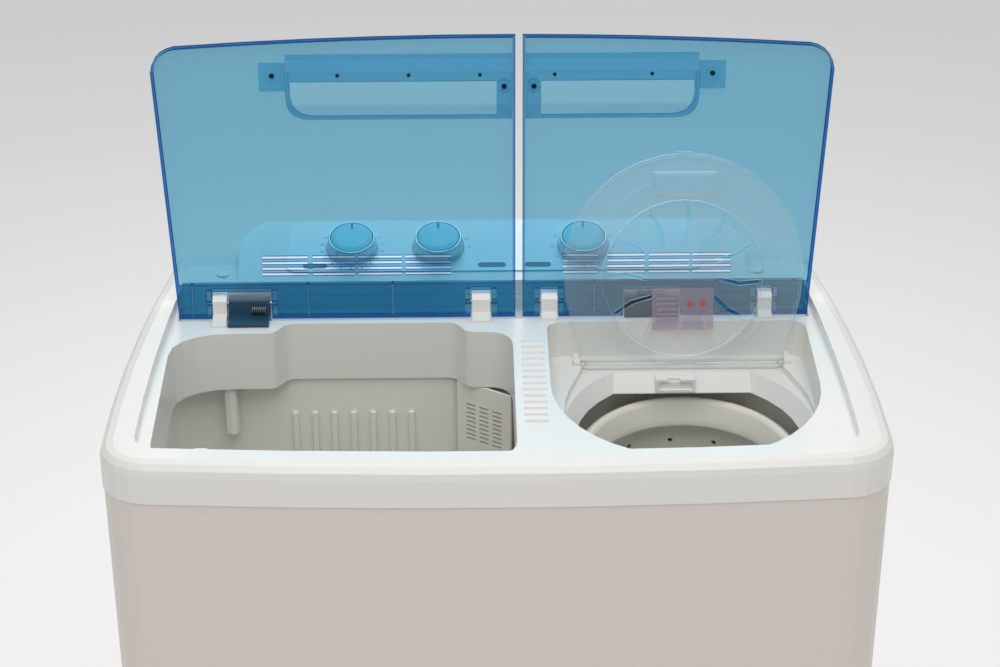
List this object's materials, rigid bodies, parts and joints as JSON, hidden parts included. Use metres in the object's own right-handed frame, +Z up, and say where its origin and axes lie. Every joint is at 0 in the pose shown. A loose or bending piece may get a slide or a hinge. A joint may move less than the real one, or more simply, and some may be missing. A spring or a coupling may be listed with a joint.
{
  "type": "twin-tub washing machine",
  "caption": "Twin-tub washing machine with open blue lids, clear inner lid, wash tub with pulsator, spin dryer and sloping console with knobs.",
  "frame": {"origin": "on the floor under the middle of the machine", "axes": "+X to the right seen from the front, +Y to the back where the console is, +Z up"},
  "size_m": [0.806, 0.4995, 1.1826],
  "materials": {
    "deck_white": "glossy moulded",
    "cabinet_paint": "satin enamel",
    "tub_plastic": "smooth moulded",
    "plinth_plastic": "matt moulded",
    "blue_lid": "clear blue tint",
    "clear_lid": "clear",
    "silver_trim": "silver painted",
    "navy_plastic": "matt",
    "steel": "turned",
    "motor_casting": "dark painted",
    "rubber": "matt",
    "black_plastic": "matt",
    "grey_plastic": "matt"
  },
  "bodies": {
    "machine": {"base_pan": "plinth_plastic", "foot_front_left": "rubber", "foot_front_right": "rubber", "foot_rear_left": "rubber", "foot_rear_right": "rubber", "cabinet": "cabinet_paint", "rear_cover": "cabinet_paint", "top_deck": "deck_white", "inner_lid_latch": "deck_white", "wash_lid_damper": "navy_plastic", "spin_lid_switch": "navy_plastic", "console_housing": "deck_white", "control_fascia": "deck_white", "screw_cap_left": "deck_white", "screw_cap_right": "deck_white", "wash_timer": "grey_plastic", "selector_switch": "grey_plastic", "spin_timer": "grey_plastic", "wash_tub": "tub_plastic", "water_inlet_pipe": "tub_plastic", "pulsator_bearing_housing": "motor_casting", "drive_belt": "rubber", "wash_motor": "motor_casting", "spin_tub": "tub_plastic", "spin_shaft_seal": "rubber", "spin_motor": "motor_casting", "spin_motor_mount_1": "rubber", "spin_motor_mount_2": "rubber", "spin_motor_mount_3": "rubber", "drain_valve_body": "grey_plastic", "drain_hose": "grey_plastic", "spin_drain_hose": "grey_plastic", "capacitor": "black_plastic", "cord_gland": "black_plastic"},
    "wash_lid_assembly": {"wash_lid": "blue_lid", "wash_lid_handle": "blue_lid", "wash_lid_pin_left": "steel", "wash_lid_pin_right": "steel"},
    "spin_lid_assembly": {"spin_lid": "blue_lid", "spin_lid_handle": "blue_lid", "spin_lid_pin_left": "steel", "spin_lid_pin_right": "steel"},
    "inner_lid_body": {"inner_lid": "clear_lid"},
    "wash_timer_control": {"wash_timer_knob": "silver_trim", "wash_timer_knob_cap": "silver_trim"},
    "selector_control": {"selector_knob": "silver_trim", "selector_knob_cap": "silver_trim"},
    "spin_timer_control": {"spin_timer_knob": "silver_trim", "spin_timer_knob_cap": "silver_trim"},
    "pulsator_rotor": {"pulsator": "deck_white", "pulsator_shaft": "steel", "driven_pulley": "motor_casting"},
    "wash_motor_rotor": {"motor_pulley": "steel"},
    "spin_rotor": {"spin_basket": "tub_plastic", "balance_ring": "tub_plastic", "spin_shaft": "steel", "brake_drum": "motor_casting"},
    "brake_arm": {"brake_lever": "steel"},
    "drain_plunger_rod": {"drain_plunger": "rubber"},
    "filter_cover": {"overflow_filter": "tub_plastic"}
  },
  "joints": [
    {"name": "wash_lid_hinge", "type": "hinge", "parent": "machine", "child": "wash_lid_assembly", "pos_m": [0, 0.0913, 0.8795], "axis": [1, 0, 0], "range_deg": [0, 98]},
    {"name": "spin_lid_hinge", "type": "hinge", "parent": "machine", "child": "spin_lid_assembly", "pos_m": [0, 0.0913, 0.8795], "axis": [1, 0, 0], "range_deg": [0, 98]},
    {"name": "inner_lid_hinge", "type": "hinge", "parent": "machine", "child": "inner_lid_body", "pos_m": [0.2085, 0.052, 0.819], "axis": [1, 0, 0], "range_deg": [0, 105]},
    {"name": "wash_timer_turn", "type": "hinge", "parent": "machine", "child": "wash_timer_control", "pos_m": [-0.16, 0.18385, 0.89749], "axis": [0, 0.2499, -0.9683], "range_deg": [0, 300]},
    {"name": "selector_turn", "type": "hinge", "parent": "machine", "child": "selector_control", "pos_m": [-0.0617, 0.18385, 0.89749], "axis": [0, 0.2499, -0.9683], "range_deg": [0, 90]},
    {"name": "spin_timer_turn", "type": "hinge", "parent": "machine", "child": "spin_timer_control", "pos_m": [0.1035, 0.18385, 0.89749], "axis": [0, 0.2499, -0.9683], "range_deg": [0, 300]},
    {"name": "pulsator_spin", "type": "hinge", "parent": "machine", "child": "pulsator_rotor", "pos_m": [-0.167, -0.066, 0.4], "axis": [0, 0, 1], "continuous": true},
    {"name": "wash_motor_spin", "type": "hinge", "parent": "machine", "child": "wash_motor_rotor", "pos_m": [-0.318, -0.066, 0.3], "axis": [0, 0, 1], "continuous": true},
    {"name": "basket_spin", "type": "hinge", "parent": "machine", "child": "spin_rotor", "pos_m": [0.208, -0.0665, 0.4], "axis": [0, 0, 1], "continuous": true},
    {"name": "brake_release", "type": "hinge", "parent": "machine", "child": "brake_arm", "pos_m": [0.29, -0.01, 0.278], "axis": [0, 0, 1], "range_deg": [0, 8]},
    {"name": "drain_lift", "type": "slide", "parent": "machine", "child": "drain_plunger_rod", "axis": [0, 0, 1], "range_m": [0, 0.01]},
    {"name": "filter_slide", "type": "slide", "parent": "machine", "child": "filter_cover", "axis": [-0.5299, -0.848, 0], "range_m": [0, 0.04]}
  ],
  "couplings": [
    {"joint": "inner_lid_hinge", "follows": "spin_lid_hinge", "ratio": 1.0714},
    {"joint": "brake_release", "follows": "spin_lid_hinge", "ratio": 0.0816},
    {"joint": "wash_motor_spin", "follows": "pulsator_spin", "ratio": 3.75},
    {"joint": "drain_lift", "follows": "selector_turn", "m_per_rad": 0.006366}
  ]
}
